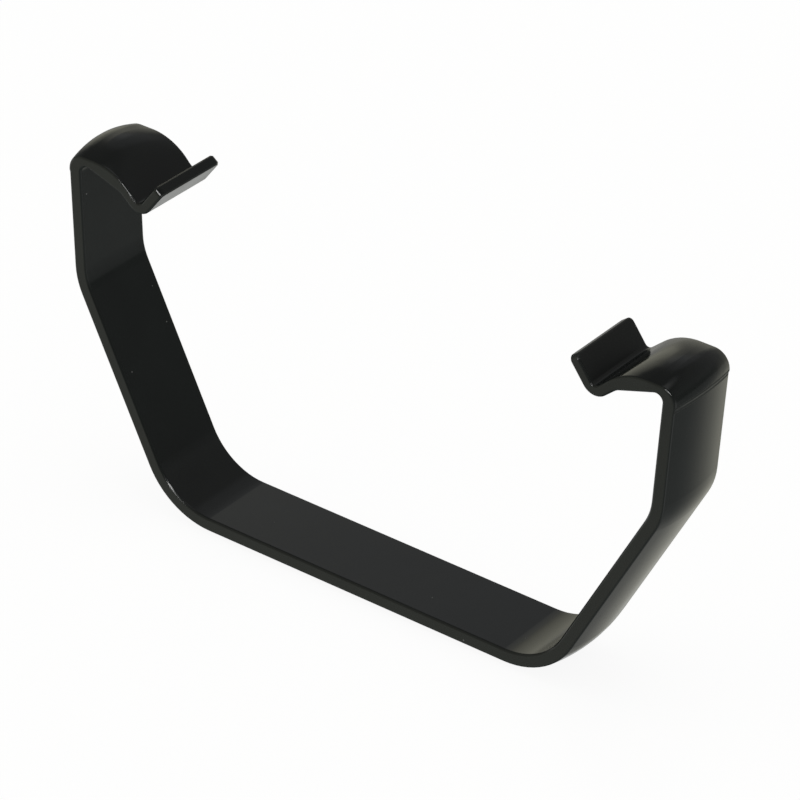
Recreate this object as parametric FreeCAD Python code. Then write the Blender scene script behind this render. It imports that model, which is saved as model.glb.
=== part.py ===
import FreeCAD, Part
import math
import os

# Gutter fitting strap: one moulded strip that hugs a flat-bottomed gutter from below,
# with a crowned hook and a thumb tab at each end that snap over the gutter's rims.
# X runs across the gutter, Y along it and Z up. The strap stands on its crowned bottom at Z = 0.

# Inside of the strap, which is the outside of the gutter (mm, degrees)
INSIDE_BOTTOM = 75.0
INSIDE_KNEE = 112.0
INSIDE_RIM = 114.0
KNEE_RISE = 36.3
RIM_RISE = 58.0
TOE_RADIUS = 12.0
KNEE_RADIUS = 10.0

# Section of the strip: flat inside with bevelled edges, crowned outside with rounded edges
STRAP_WIDTH = 15.0
EDGE_THICKNESS = 2.3
STRAP_CROWN = 0.8
EDGE_BREAK = 0.3

# Hook: rim seat, dip and lip
SEAT_LENGTH = 8.85
SEAT_TILT = 18.0
SEAT_RADIUS = 1.3
SEAT_END_RADIUS = 2.0
DIP_LENGTH = 5.6
DIP_ANGLE = 41.0
LIP_THICKNESS = 1.9
VALLEY_RADIUS = 0.8

# Crowned head over the rim seat, a little proud of the wall; its bevelled foot rises with the crown
HEAD_DEPTH = 2.4
HEAD_STEP = 0.2
HEAD_BEVEL = 0.5
HEAD_EDGE_RADIUS = 0.5
HEAD_STRAIGHT = 0.2
HEAD_FOOT_TILT = 31.0
HEAD_TOP_CROWN = 1.25
TOP_ABOVE_SEAT = 1.2
ARCH_RADIUS = 10.0

# Thumb tab
TAB_LENGTH = 7.8
TAB_ANGLE = 53.0
TAB_CORNER_RADIUS = 1.0

HALF_WIDTH = STRAP_WIDTH / 2
FLAT_HALF = HALF_WIDTH - EDGE_BREAK
FLOOR_TO_INSIDE = EDGE_THICKNESS + STRAP_CROWN
BOTTOM_RADIUS = VALLEY_RADIUS + LIP_THICKNESS
LINING = TOP_ABOVE_SEAT / 2
HEAD_TUCK = HEAD_STEP / 2
FOOT_SLOPE = math.tan(math.radians(HEAD_FOOT_TILT))
ACROSS = FreeCAD.Vector(0, -1, 0)
TOP_HEADING = 180.0
SEAT_HEADING = TOP_HEADING + SEAT_TILT
DIP_HEADING = TOP_HEADING + DIP_ANGLE
TAB_HEADING = TOP_HEADING - TAB_ANGLE
TOUCHING = 1e-6


def at(x, z, y=0.0):
    return FreeCAD.Vector(x, y, z)


def heading(angle):
    return at(math.cos(math.radians(angle)), math.sin(math.radians(angle)))


def outward(angle):
    # Normal on the right-hand side of a heading, away from the gutter
    return heading(angle - 90)


def angle_between(start, end):
    return math.degrees(math.atan2(end.z - start.z, end.x - start.x))


def meeting(point_a, angle_a, point_b, angle_b):
    # Point where two lines cross, each given by a point and a heading
    along = heading(angle_a)
    normal = outward(angle_b)
    return point_a + along * ((point_b - point_a).dot(normal) / along.dot(normal))


def reach(radius, turn):
    # Length that an arc of this radius takes off each of the two lines it joins
    return radius * math.tan(math.radians(turn / 2))


def straight(start, end):
    # A run is three control points and the weight of the middle one, which is 1 on a straight run
    return (start, (start + end) / 2, end), 1.0


def rounded_runs(points, radii):
    # Straight runs through the points, with a tangent arc of the given radius at each inner point
    runs = []
    start = points[0]
    for before, corner, after, radius in zip(points, points[1:], points[2:], radii):
        back = (before - corner).normalize()
        ahead = (after - corner).normalize()
        half = back.getAngle(ahead) / 2
        arc_start = corner + back * (radius / math.tan(half))
        arc_end = corner + ahead * (radius / math.tan(half))
        runs.append(straight(start, arc_start))
        runs.append(((arc_start, corner, arc_end), math.sin(half)))
        start = arc_end
    runs.append(straight(start, points[-1]))
    return runs


def run_edges(runs, y):
    # Lines and circular arcs of the runs, in the plane at y
    edges = []
    for (start, control, end), weight in runs:
        middle = (start + control * (2 * weight) + end) / (2 + 2 * weight)
        if weight == 1.0:
            edge = Part.LineSegment(start, end).toShape()
        else:
            edge = Part.Arc(start, middle, end).toShape()
        edge.translate(at(0, 0, y))
        edges.append(edge)
    return edges


def flat_face(edges):
    return Part.Face(Part.Wire(Part.__sortEdges__(edges)))


def inside_corners():
    # Right-hand corners of the inside outline before rounding: middle of bottom, toe, knee, rim
    floor = FLOOR_TO_INSIDE
    return (
        at(0, floor),
        at(INSIDE_BOTTOM / 2, floor),
        at(INSIDE_KNEE / 2, floor + KNEE_RISE),
        at(INSIDE_RIM / 2, floor + RIM_RISE),
    )


def strip_section():
    # Section at the middle of the bottom: flat above, crowned below, rounded and bevelled corners
    r = EDGE_BREAK
    side = HALF_WIDTH
    top = FLOOR_TO_INSIDE
    crown_radius = (side ** 2 + STRAP_CROWN ** 2) / (2 * STRAP_CROWN)
    corner_z = crown_radius - math.sqrt((crown_radius - r) ** 2 - FLAT_HALF ** 2)
    lean = math.atan2(FLAT_HALF, crown_radius - corner_z)
    touch_y = crown_radius * math.sin(lean)
    touch_z = crown_radius - crown_radius * math.cos(lean)
    half_turn = (lean + math.pi / 2) / 2
    mid_y = FLAT_HALF + r * math.sin(half_turn)
    mid_z = corner_z - r * math.cos(half_turn)

    edges = [Part.Arc(at(0, touch_z, touch_y), at(0, 0), at(0, touch_z, -touch_y)).toShape()]
    for hand in (1, -1):
        def point(y, z):
            return at(0, z, hand * y)

        edges += [
            Part.Arc(point(touch_y, touch_z), point(mid_y, mid_z), point(side, corner_z)).toShape(),
            Part.LineSegment(point(side, corner_z), point(side, top - r)).toShape(),
            Part.LineSegment(point(side, top - r), point(FLAT_HALF, top)).toShape(),
        ]
    edges.append(Part.LineSegment(at(0, top, FLAT_HALF), at(0, top, -FLAT_HALF)).toShape())
    return flat_face(edges)


def trough_half():
    # The strip runs out from the middle of the bottom, bends at toe and knee, and ends inside the head
    middle, toe, knee, rim = inside_corners()
    slant_angle = angle_between(toe, knee)
    wall_angle = angle_between(knee, rim)
    knee_turn = wall_angle - slant_angle
    toe_reach = reach(TOE_RADIUS, slant_angle)
    knee_reach = reach(KNEE_RADIUS, knee_turn)
    head_overlap = STRAP_CROWN * FOOT_SLOPE + HEAD_BEVEL
    legs = (
        (0.0, middle.distanceToPoint(toe) - toe_reach, TOE_RADIUS, slant_angle),
        (slant_angle, toe.distanceToPoint(knee) - toe_reach - knee_reach, KNEE_RADIUS, knee_turn),
        (wall_angle, knee.distanceToPoint(rim) - knee_reach - HEAD_DEPTH + head_overlap, 0.0, 0.0),
    )
    section = strip_section()
    place = middle
    pieces = []
    for angle, length, bend_radius, turn in legs:
        step = heading(angle) * length
        pieces.append(section.extrude(step))
        section.translate(step)
        place = place + step
        if turn:
            centre = place - outward(angle) * bend_radius
            pieces.append(section.revolve(centre, ACROSS, turn))
            section.rotate(centre, ACROSS, turn)
            place = centre + outward(angle + turn) * bend_radius
    return pieces


def hook_corners():
    # Inside corners of the hook before rounding: start of the head, rim, end of seat, end of dip, tip
    _, _, knee, rim = inside_corners()
    start = rim - heading(angle_between(knee, rim)) * HEAD_DEPTH
    seat_end = rim + heading(SEAT_HEADING) * SEAT_LENGTH
    dip_end = seat_end + heading(DIP_HEADING) * DIP_LENGTH
    tip = dip_end + heading(TAB_HEADING) * TAB_LENGTH
    return start, rim, seat_end, dip_end, tip


def head_end():
    # The crowned head ends halfway down the straight part of the dip
    _, _, seat_end, _, _ = hook_corners()
    upper = reach(SEAT_END_RADIUS, DIP_HEADING - SEAT_HEADING)
    lower = DIP_LENGTH - reach(BOTTOM_RADIUS, DIP_HEADING - TAB_HEADING)
    return seat_end + heading(DIP_HEADING) * ((upper + lower) / 2)


def foot_point(depth):
    # Point of the head's foot plane, which rises outwards, at a depth outside the wall's inner face
    start, rim, _, _, _ = hook_corners()
    wall_angle = angle_between(start, rim)
    return start + outward(wall_angle) * depth + heading(wall_angle) * ((depth - EDGE_THICKNESS) * FOOT_SLOPE)


def foot_normal():
    return outward(angle_between(foot_point(0.0), foot_point(EDGE_THICKNESS)))


def seat_runs(depth, last):
    # From the end of the head back under the seat and down the wall, at a depth inside the plastic
    start, rim, seat_end, _, _ = hook_corners()
    wall_angle = angle_between(start, rim)
    first = head_end() + outward(DIP_HEADING) * depth
    seat = seat_end + outward(SEAT_HEADING) * depth
    bend = meeting(first, DIP_HEADING, seat, SEAT_HEADING)
    corner = meeting(seat, SEAT_HEADING, last, wall_angle)
    return rounded_runs((first, bend, corner, last), (SEAT_END_RADIUS + depth, SEAT_RADIUS + depth))


def lip():
    # Lining of the head, which goes over into the full lip, the valley and the thumb tab
    start, rim, seat_end, dip_end, tip = hook_corners()
    wall_angle = angle_between(start, rim)
    end = head_end()
    end_top = end + outward(DIP_HEADING) * LIP_THICKNESS
    tip_top = tip + outward(TAB_HEADING) * LIP_THICKNESS
    valley = meeting(end_top, DIP_HEADING, tip_top, TAB_HEADING)
    runs = rounded_runs(
        (tip, dip_end, seat_end, rim, start),
        (BOTTOM_RADIUS, SEAT_END_RADIUS, SEAT_RADIUS),
    )
    lining_start = start + outward(wall_angle) * LINING
    runs.append(straight(start, lining_start))
    runs += seat_runs(LINING, lining_start)
    runs.append(straight(end + outward(DIP_HEADING) * LINING, end_top))
    runs += rounded_runs((end_top, valley, tip_top), (VALLEY_RADIUS,))
    runs.append(straight(tip_top, tip))
    solid = flat_face(run_edges(runs, -HALF_WIDTH)).extrude(at(0, 0, STRAP_WIDTH))
    tip_middle = (tip + tip_top) / 2
    solid = solid.makeFillet(
        TAB_CORNER_RADIUS,
        edges_at(solid, [tip_middle + at(0, 0, y) for y in (-HALF_WIDTH, HALF_WIDTH)]),
    )
    return solid.makeChamfer(EDGE_BREAK, edges_at(solid, [tip, tip_top]))


def edges_at(solid, places):
    # Edges whose middle lies at one of the places
    found = []
    for edge in solid.Edges:
        middle = edge.valueAt((edge.FirstParameter + edge.LastParameter) / 2)
        if min(map(middle.distanceToPoint, places)) < TOUCHING:
            found.append(edge)
    return found


def head_runs(side, top, inset):
    # Outside of the head: bevelled foot, side, over the top and down the dip
    start, rim, _, _, _ = hook_corners()
    wall_angle = angle_between(start, rim)
    root = foot_point(EDGE_THICKNESS + side - HEAD_TUCK)
    first = root + heading(wall_angle) * HEAD_BEVEL + outward(wall_angle) * (HEAD_TUCK + HEAD_STEP)
    last = head_end() + outward(DIP_HEADING) * (LIP_THICKNESS - inset)
    top_point = at(0, rim.z + TOP_ABOVE_SEAT + top)
    corner = meeting(first, wall_angle, top_point, TOP_HEADING)
    shoulder = meeting(top_point, TOP_HEADING, last, DIP_HEADING)
    corner_reach = first.distanceToPoint(corner) - HEAD_STRAIGHT
    corner_radius = corner_reach / reach(1.0, TOP_HEADING - wall_angle)
    spare = corner.distanceToPoint(shoulder) - corner_reach
    arch_radius = min(ARCH_RADIUS, spare / reach(1.0, DIP_ANGLE))
    return rounded_runs(
        (root, first, corner, shoulder, last),
        (HEAD_EDGE_RADIUS, corner_radius, arch_radius),
    )


def row(run, y):
    points, _ = run
    return [point + at(0, 0, y) for point in points]


def patch(rows, middle_weight, run_weight):
    # Smooth face from a first to a last row of points, drawn towards the row between them
    surface = Part.BezierSurface()
    surface.increase(2, 2)
    for i, (points, row_weight) in enumerate(zip(rows, (1.0, middle_weight, 1.0)), 1):
        for j, (point, weight) in enumerate(zip(points, (1.0, run_weight, 1.0)), 1):
            surface.setPole(i, j, point)
            surface.setWeight(i, j, weight * row_weight)
    return surface.toShape()


def edge_fall(crown):
    # How far a crowned face drops at the rounded edge: where its slope meets the side, and in all
    slope = math.atan(2 * crown / FLAT_HALF)
    lead = EDGE_BREAK * math.tan(slope)
    return lead, lead + EDGE_BREAK / math.cos(slope)


def end_face(faces, point, normal):
    # Flat face that closes the faces' edges in a plane
    found = []
    for face in faces:
        for edge in face.Edges:
            ends = [edge.valueAt(edge.FirstParameter), edge.valueAt(edge.LastParameter)]
            if max(abs((end - point).dot(normal)) for end in ends) < TOUCHING:
                found.append(edge)
    return flat_face(found)


def crowned_head():
    # Head with its top and outside crowned across the strap; the crown fades out down the dip
    side_lead, side_fall = edge_fall(STRAP_CROWN)
    top_lead, top_fall = edge_fall(HEAD_TOP_CROWN)
    brow = head_runs(0.0, 0.0, 0.0)
    middle = head_runs(STRAP_CROWN, HEAD_TOP_CROWN, 0.0)
    lead = head_runs(-side_lead, -top_lead, 0.0)
    foot = head_runs(-side_fall, -top_fall, EDGE_BREAK)
    inner_depth = (EDGE_BREAK + LINING) / 2
    inner = seat_runs(inner_depth, foot_point(inner_depth))
    quarter = math.cos(math.pi / 4)

    faces = []
    for run, middle_run, lead_run, foot_run in zip(brow, middle, lead, foot):
        _, weight = run
        left = row(run, -FLAT_HALF)
        right = row(run, FLAT_HALF)
        bulge = [top * 2 - (a + b) / 2 for top, a, b in zip(row(middle_run, 0.0), left, right)]
        faces.append(patch((left, bulge, right), 1.0, weight))
        for inner_row, y in ((left, -HALF_WIDTH), (right, HALF_WIDTH)):
            lead_row = row(lead_run, y)
            foot_row = row(foot_run, y)
            if run is brow[-1]:
                lead_row[-1] = (inner_row[-1] + foot_row[-1]) / 2
            faces.append(patch((inner_row, lead_row, foot_row), quarter, weight))
    faces += [edge.extrude(at(0, 0, STRAP_WIDTH)) for edge in run_edges(inner, -HALF_WIDTH)]
    outline = foot + [straight(foot[-1][0][-1], inner[0][0][0])]
    outline += inner + [straight(inner[-1][0][-1], foot[0][0][0])]
    faces += [flat_face(run_edges(outline, y)) for y in (-HALF_WIDTH, HALF_WIDTH)]
    faces.append(end_face(faces, inner[-1][0][-1], foot_normal()))
    faces.append(end_face(faces, head_end(), heading(DIP_HEADING)))
    shell = Part.makeShell(faces)
    shell.sewShape()
    return Part.makeSolid(shell)


def gutter_strap():
    half = trough_half() + [lip(), crowned_head()]
    other = [piece.mirror(at(0, 0), at(1, 0)) for piece in half]
    strap = half[0].multiFuse(half[1:] + other).removeSplitter()
    return strap.Solids[0]


os.makedirs("parts", exist_ok=True)
gutter_strap().exportStep("parts/gutter_strap.step")
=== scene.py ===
import math
import bpy
from mathutils import Matrix, Vector

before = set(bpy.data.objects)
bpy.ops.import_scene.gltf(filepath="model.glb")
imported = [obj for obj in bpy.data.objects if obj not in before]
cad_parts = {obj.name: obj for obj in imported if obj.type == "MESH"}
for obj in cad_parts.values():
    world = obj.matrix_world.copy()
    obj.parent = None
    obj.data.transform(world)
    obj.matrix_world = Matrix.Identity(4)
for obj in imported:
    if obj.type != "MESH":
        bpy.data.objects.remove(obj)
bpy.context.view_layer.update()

# Gutter fitting strap in black moulded plastic, on a white studio floor. Lengths are in metres.

MM = 0.001
NODE = "gutter_strap"

# Colours
WHITE = (1.0, 1.0, 1.0, 1.0)
WARM = (1.0, 0.985, 0.78, 1.0)
COOL = (0.95, 0.99, 1.05, 1.0)

# Camera: where it stands around the strap, with the azimuth in degrees from -Y round to +X, and how it
# frames the strap
CAMERA_AZIMUTH = 36.15
CAMERA_ELEVATION = 31.526
CAMERA_ROLL = -1.492
CAMERA_DISTANCE = 729.9 * MM
CAMERA_CLIP_START = 10.0 * MM
AIM_RIGHT = 3.194 * MM
AIM_UP = 28.515 * MM
AIM_LIFT = 0.96 * MM

# Lens and sensor, in millimetres as Blender takes them
CAMERA_LENS = 200.4
SENSOR = 36.0

# Plastic: each noise, in cells per metre, with the ramp or bump that it drives
PLASTIC_IOR = 1.5
TINT_NOISE = dict(Scale=110.0, Detail=4.0, Roughness=0.6)
TINT_STOPS = ((0.3, (0.0058, 0.0082, 0.0070, 1.0)), (0.75, (0.0084, 0.0116, 0.0100, 1.0)))
SHEEN_NOISE = dict(Scale=240.0, Detail=3.0, Roughness=0.5)
SHEEN_STOPS = ((0.3, 0.13), (0.8, 0.18))
RIPPLE_NOISE = dict(Scale=160.0, Detail=1.0)
RIPPLE_BUMP = dict(Strength=0.25, Distance=0.03 * MM)
GRAIN_NOISE = dict(Scale=5000.0, Detail=2.0)
GRAIN_BUMP = dict(Strength=0.15, Distance=0.004 * MM)

# Dust specks: cells per metre, and the colour by the distance from a cell's point
DUST_SCALE = 180.0
DUST_STOPS = ((0.018, (0.14, 0.14, 0.135, 1.0)), (0.032, 0.0))

# Rounding that the shading gives to the edges
EDGE_RADIUS = 0.3 * MM
EDGE_SAMPLES = 8

# Seam along the foot of each head: a band between two sloping planes, by their heights at the middle
# of the strap, on faces whose own plane lies far enough from the origin. Its ramp ends at SEAM_TOP.
SEAM_TILT = math.radians(31.0)
SEAM_BAND = ((22.5 * MM, 0.0), (22.8 * MM, 1.0), (23.7 * MM, 1.0), (23.95 * MM, 0.0))
SEAM_TOP = 30.0 * MM
SEAM_PLANES = ((30.0 * MM, 0.0), (45.0 * MM, 1.0))
SEAM_ROUGHNESS = 0.6

# Side of each tab that faces its head: how far it reaches from the middle of the strap, and how far
# its plane lies from the origin
TAB_REACH = 46.0 * MM
TAB_FADE = 1.0 * MM
TAB_PLANES = ((50.0 * MM, 0.0), (60.0 * MM, 1.0))
TAB_ROUGHNESS = 0.42

# Floor
FLOOR_SIZE = 6.0
FLOOR_DROP = 0.05 * MM
FLOOR_GREY = 0.32
FLOOR_GLOW = 0.91

# Dim room: brightness by height, from straight down at 0 to straight up at 1
ROOM_LEVELS = ((0.0, 0.21), (0.457, 0.24), (0.469, 0.125), (0.58, 0.135), (0.67, 0.17), (1.0, 0.15))

# Soft panels around the strap. Angles are in degrees, with the azimuth from +Y round to +X. Width and
# height are half sizes at a distance of 1, and edge is the share of them that fades out.
PANELS = (
    # Mirrored by the tabs, the right toe bend and the right head
    dict(azimuth=-49.0, elevation=15.0, width=0.27, height=0.47, edge=0.5, level=0.40, tint=WARM),
    dict(azimuth=-38.0, elevation=8.0, width=0.42, height=0.45, edge=0.7, level=0.20, tint=WARM),
    # Mirrored by the outside of the right end
    dict(azimuth=-3.0, elevation=-19.0, width=0.75, height=0.70, edge=0.8, level=0.57, tint=WARM),
    dict(azimuth=-28.5, elevation=-45.5, width=0.16, height=0.19, edge=0.8, level=0.45, tint=COOL),
    # Mirrored by the near edges
    dict(azimuth=-140.0, elevation=0.0, width=1.28, height=1.60, edge=0.9, level=0.27, tint=WARM),
    # Mirrored by the bottom run
    dict(azimuth=-28.0, elevation=39.0, width=0.30, height=0.28, edge=0.4, level=0.09, tint=COOL),
    dict(azimuth=-36.0, elevation=31.5, width=0.14, height=0.14, edge=0.7, level=0.11, tint=COOL),
    # Mirrored by the left head, slope and toe bend
    dict(azimuth=32.0, elevation=36.0, width=1.00, height=0.70, edge=0.6, level=0.06, tint=WHITE),
    # To both sides and overhead, for the other views
    dict(azimuth=98.0, elevation=-22.0, width=0.60, height=0.80, edge=0.6, level=0.45, tint=WHITE),
    dict(azimuth=-92.0, elevation=-28.0, width=0.55, height=0.60, edge=0.6, level=0.35, tint=WHITE),
    dict(azimuth=0.0, elevation=90.0, width=0.45, height=0.45, edge=0.6, level=0.45, tint=WHITE),
)

# Highlight lamp: place, width and height, and power in watts
LAMP_PLACE = (0.20, -0.85, 0.48)
LAMP_WIDTH = 0.50
LAMP_HEIGHT = 0.16
LAMP_POWER = 3.6


def grey(level):
    return (level, level, level, 1.0)


def fill(tree, socket, value):
    # Links the input to another node's output, or gives it a plain value
    if isinstance(value, bpy.types.NodeSocket):
        tree.links.new(value, socket)
    else:
        socket.default_value = value


def node(tree, kind, *inputs, **values):
    # New shader node, with inputs in their own order, and inputs or settings by name
    made = tree.nodes.new(kind)
    for name, value in values.items():
        if name in made.inputs:
            fill(tree, made.inputs[name], value)
        else:
            setattr(made, name, value)
    for socket, value in zip(made.inputs, inputs):
        fill(tree, socket, value)
    return made


def ramp(tree, factor, stops, easing="LINEAR"):
    # Colour by factor, where a stop's colour may be a plain number for a grey
    made = node(tree, "ShaderNodeValToRGB", Fac=factor)
    made.color_ramp.interpolation = easing
    elements = made.color_ramp.elements
    while len(elements) < len(stops):
        elements.new(1.0)
    for element, (position, color) in zip(elements, stops):
        element.position = position
        element.color = grey(color) if isinstance(color, float) else color
    return made.outputs["Color"]


def noise(tree, place, settings):
    return node(tree, "ShaderNodeTexNoise", Vector=place, **settings).outputs["Fac"]


def maths(tree, operation, first, second):
    return node(tree, "ShaderNodeMath", first, second, operation=operation).outputs["Value"]


def dot(tree, first, second):
    return node(tree, "ShaderNodeVectorMath", first, second, operation="DOT_PRODUCT").outputs["Value"]


def new_material(name):
    material = bpy.data.materials.new(name)
    material.use_nodes = True
    material.node_tree.nodes.clear()
    return material


def seam_roughness(tree, both_ends, plane_distance):
    # Fine dull line along the foot of each head
    rise = Vector((-math.tan(SEAM_TILT), 0.0, 1.0)) / SEAM_TOP
    height = dot(tree, both_ends, rise)
    band = ramp(tree, height, [(stop / SEAM_TOP, level) for stop, level in SEAM_BAND])
    outer = ramp(tree, plane_distance, SEAM_PLANES)
    return maths(tree, "MULTIPLY", maths(tree, "MULTIPLY", band, outer), SEAM_ROUGHNESS)


def tab_roughness(tree, both_ends, plane_distance):
    # Duller side of each tab, towards its head
    across = node(tree, "ShaderNodeSeparateXYZ", both_ends).outputs["X"]
    reach = ramp(tree, across, ((TAB_REACH, 1.0), (TAB_REACH + TAB_FADE, 0.0)))
    facing = ramp(tree, plane_distance, TAB_PLANES)
    return maths(tree, "MULTIPLY", maths(tree, "MULTIPLY", reach, facing), TAB_ROUGHNESS)


def plastic_roughness(tree, place):
    # Slightly uneven sheen, duller at the seams and tabs of both ends
    surface = node(tree, "ShaderNodeNewGeometry")
    position = surface.outputs["Position"]
    both_ends = node(tree, "ShaderNodeVectorMath", position, operation="ABSOLUTE").outputs["Vector"]
    plane_distance = dot(tree, position, surface.outputs["Normal"])
    seam = seam_roughness(tree, both_ends, plane_distance)
    tab = tab_roughness(tree, both_ends, plane_distance)
    sheen = ramp(tree, noise(tree, place, SHEEN_NOISE), SHEEN_STOPS)
    return maths(tree, "MAXIMUM", sheen, maths(tree, "MAXIMUM", seam, tab))


def plastic_colour(tree, place):
    # Slightly uneven black with a few dust specks
    tint = ramp(tree, noise(tree, place, TINT_NOISE), TINT_STOPS)
    scatter = node(tree, "ShaderNodeTexVoronoi", Vector=place, Scale=DUST_SCALE)
    specks = ramp(tree, scatter.outputs["Distance"], DUST_STOPS)
    both = node(tree, "ShaderNodeMixRGB", blend_type="ADD", Fac=1.0, Color1=tint, Color2=specks)
    return both.outputs["Color"]


def plastic_relief(tree, place):
    # Soft edges, a faint ripple and fine mould grain
    edges = node(tree, "ShaderNodeBevel", samples=EDGE_SAMPLES, Radius=EDGE_RADIUS).outputs["Normal"]
    wave = noise(tree, place, RIPPLE_NOISE)
    ripple = node(tree, "ShaderNodeBump", Height=wave, Normal=edges, **RIPPLE_BUMP).outputs["Normal"]
    grain = noise(tree, place, GRAIN_NOISE)
    return node(tree, "ShaderNodeBump", Height=grain, Normal=ripple, **GRAIN_BUMP).outputs["Normal"]


def moulded_plastic():
    material = new_material("moulded_plastic")
    tree = material.node_tree
    place = node(tree, "ShaderNodeTexCoord").outputs["Object"]
    shader = node(tree, "ShaderNodeBsdfPrincipled", IOR=PLASTIC_IOR)
    fill(tree, shader.inputs["Base Color"], plastic_colour(tree, place))
    fill(tree, shader.inputs["Roughness"], plastic_roughness(tree, place))
    fill(tree, shader.inputs["Normal"], plastic_relief(tree, place))
    node(tree, "ShaderNodeOutputMaterial", Surface=shader.outputs["BSDF"])
    return material


def floor_material():
    # White paper floor that glows, so that the strap's shadow stays faint
    material = new_material("white_floor")
    tree = material.node_tree
    paper = node(tree, "ShaderNodeBsdfDiffuse", Color=grey(FLOOR_GREY)).outputs["BSDF"]
    glow = node(tree, "ShaderNodeEmission", Color=WHITE, Strength=FLOOR_GLOW).outputs["Emission"]
    both = node(tree, "ShaderNodeAddShader", paper, glow)
    node(tree, "ShaderNodeOutputMaterial", Surface=both.outputs["Shader"])
    return material


def dress_strap():
    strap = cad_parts[NODE]
    strap.data.materials.clear()
    strap.data.materials.append(moulded_plastic())


def lay_floor():
    # The floor is neither mirrored nor in the way of light, so the room below it reaches the strap
    bpy.ops.mesh.primitive_plane_add(size=FLOOR_SIZE, location=(0.0, 0.0, -FLOOR_DROP))
    floor = bpy.context.object
    floor.name = "studio_floor"
    floor.data.materials.append(floor_material())
    floor.visible_glossy = False
    floor.visible_shadow = False


def light_panel(tree, direction, azimuth, elevation, width, height, edge, level, tint):
    # Bright ellipse with a soft edge, around one direction
    turn = math.radians(azimuth)
    rise = math.radians(elevation)
    middle = Vector((math.cos(rise) * math.sin(turn), math.cos(rise) * math.cos(turn), math.sin(rise)))
    patch = node(
        tree, "ShaderNodeMapping", direction, vector_type="TEXTURE",
        Location=middle, Rotation=(rise, 0.0, -turn), Scale=(width, 1.0, height),
    )
    fade = node(tree, "ShaderNodeTexGradient", patch.outputs["Vector"], gradient_type="SPHERICAL")
    shape = ramp(tree, fade.outputs["Fac"], ((0.0, 0.0), (edge, tint)), "EASE")
    return node(tree, "ShaderNodeBackground", Color=shape, Strength=level).outputs["Background"]


def dim_room(tree, direction):
    # Dim surroundings over a slightly lighter table
    half = (0.5, 0.5, 0.5)
    lift = node(tree, "ShaderNodeMapping", direction, vector_type="POINT", Location=half, Scale=half)
    height = node(tree, "ShaderNodeSeparateXYZ", lift.outputs["Vector"]).outputs["Z"]
    shade = ramp(tree, height, ROOM_LEVELS)
    return node(tree, "ShaderNodeBackground", Color=shade, Strength=1.0).outputs["Background"]


def studio_world():
    # White for the camera, while the strap is lit by a dim room with soft panels and mirrors it
    world = bpy.data.worlds.new("studio")
    bpy.context.scene.world = world
    world.use_nodes = True
    tree = world.node_tree
    tree.nodes.clear()
    direction = node(tree, "ShaderNodeTexCoord").outputs["Generated"]
    room = dim_room(tree, direction)
    for panel in PANELS:
        light = light_panel(tree, direction, **panel)
        room = node(tree, "ShaderNodeAddShader", room, light).outputs["Shader"]
    to_camera = node(tree, "ShaderNodeLightPath").outputs["Is Camera Ray"]
    white = node(tree, "ShaderNodeBackground", Color=WHITE, Strength=1.0).outputs["Background"]
    seen = node(tree, "ShaderNodeMixShader", to_camera, room, white)
    node(tree, "ShaderNodeOutputWorld", Surface=seen.outputs["Shader"])


def highlight_lamp():
    # Wide lamp beside the camera that only shows as highlights
    data = bpy.data.lights.new("highlight", "AREA")
    data.shape = "RECTANGLE"
    data.size = LAMP_WIDTH
    data.size_y = LAMP_HEIGHT
    data.energy = LAMP_POWER
    lamp = bpy.data.objects.new("highlight", data)
    lamp.location = LAMP_PLACE
    lamp.rotation_euler = (-lamp.location).to_track_quat("-Z", "Y").to_euler()
    lamp.visible_diffuse = False
    bpy.context.scene.collection.objects.link(lamp)


def place_camera():
    azimuth = math.radians(CAMERA_AZIMUTH)
    elevation = math.radians(CAMERA_ELEVATION)
    roll = math.radians(CAMERA_ROLL)
    back = Vector((
        math.sin(azimuth) * math.cos(elevation),
        -math.cos(azimuth) * math.cos(elevation),
        math.sin(elevation),
    ))
    level = Vector((math.cos(azimuth), math.sin(azimuth), 0.0))
    upright = back.cross(level)
    right = level * math.cos(roll) - upright * math.sin(roll)
    up = level * math.sin(roll) + upright * math.cos(roll)
    spot = back * CAMERA_DISTANCE + right * AIM_RIGHT + up * AIM_UP + Vector((0.0, 0.0, AIM_LIFT))
    data = bpy.data.cameras.new("camera")
    data.lens = CAMERA_LENS
    data.sensor_width = SENSOR
    data.clip_start = CAMERA_CLIP_START
    camera = bpy.data.objects.new("camera", data)
    camera.matrix_world = Matrix.Translation(spot) @ Matrix((right, up, back)).transposed().to_4x4()
    bpy.context.scene.collection.objects.link(camera)
    bpy.context.scene.camera = camera


bpy.context.scene.view_settings.view_transform = "Standard"
dress_strap()
lay_floor()
studio_world()
highlight_lamp()
place_camera()
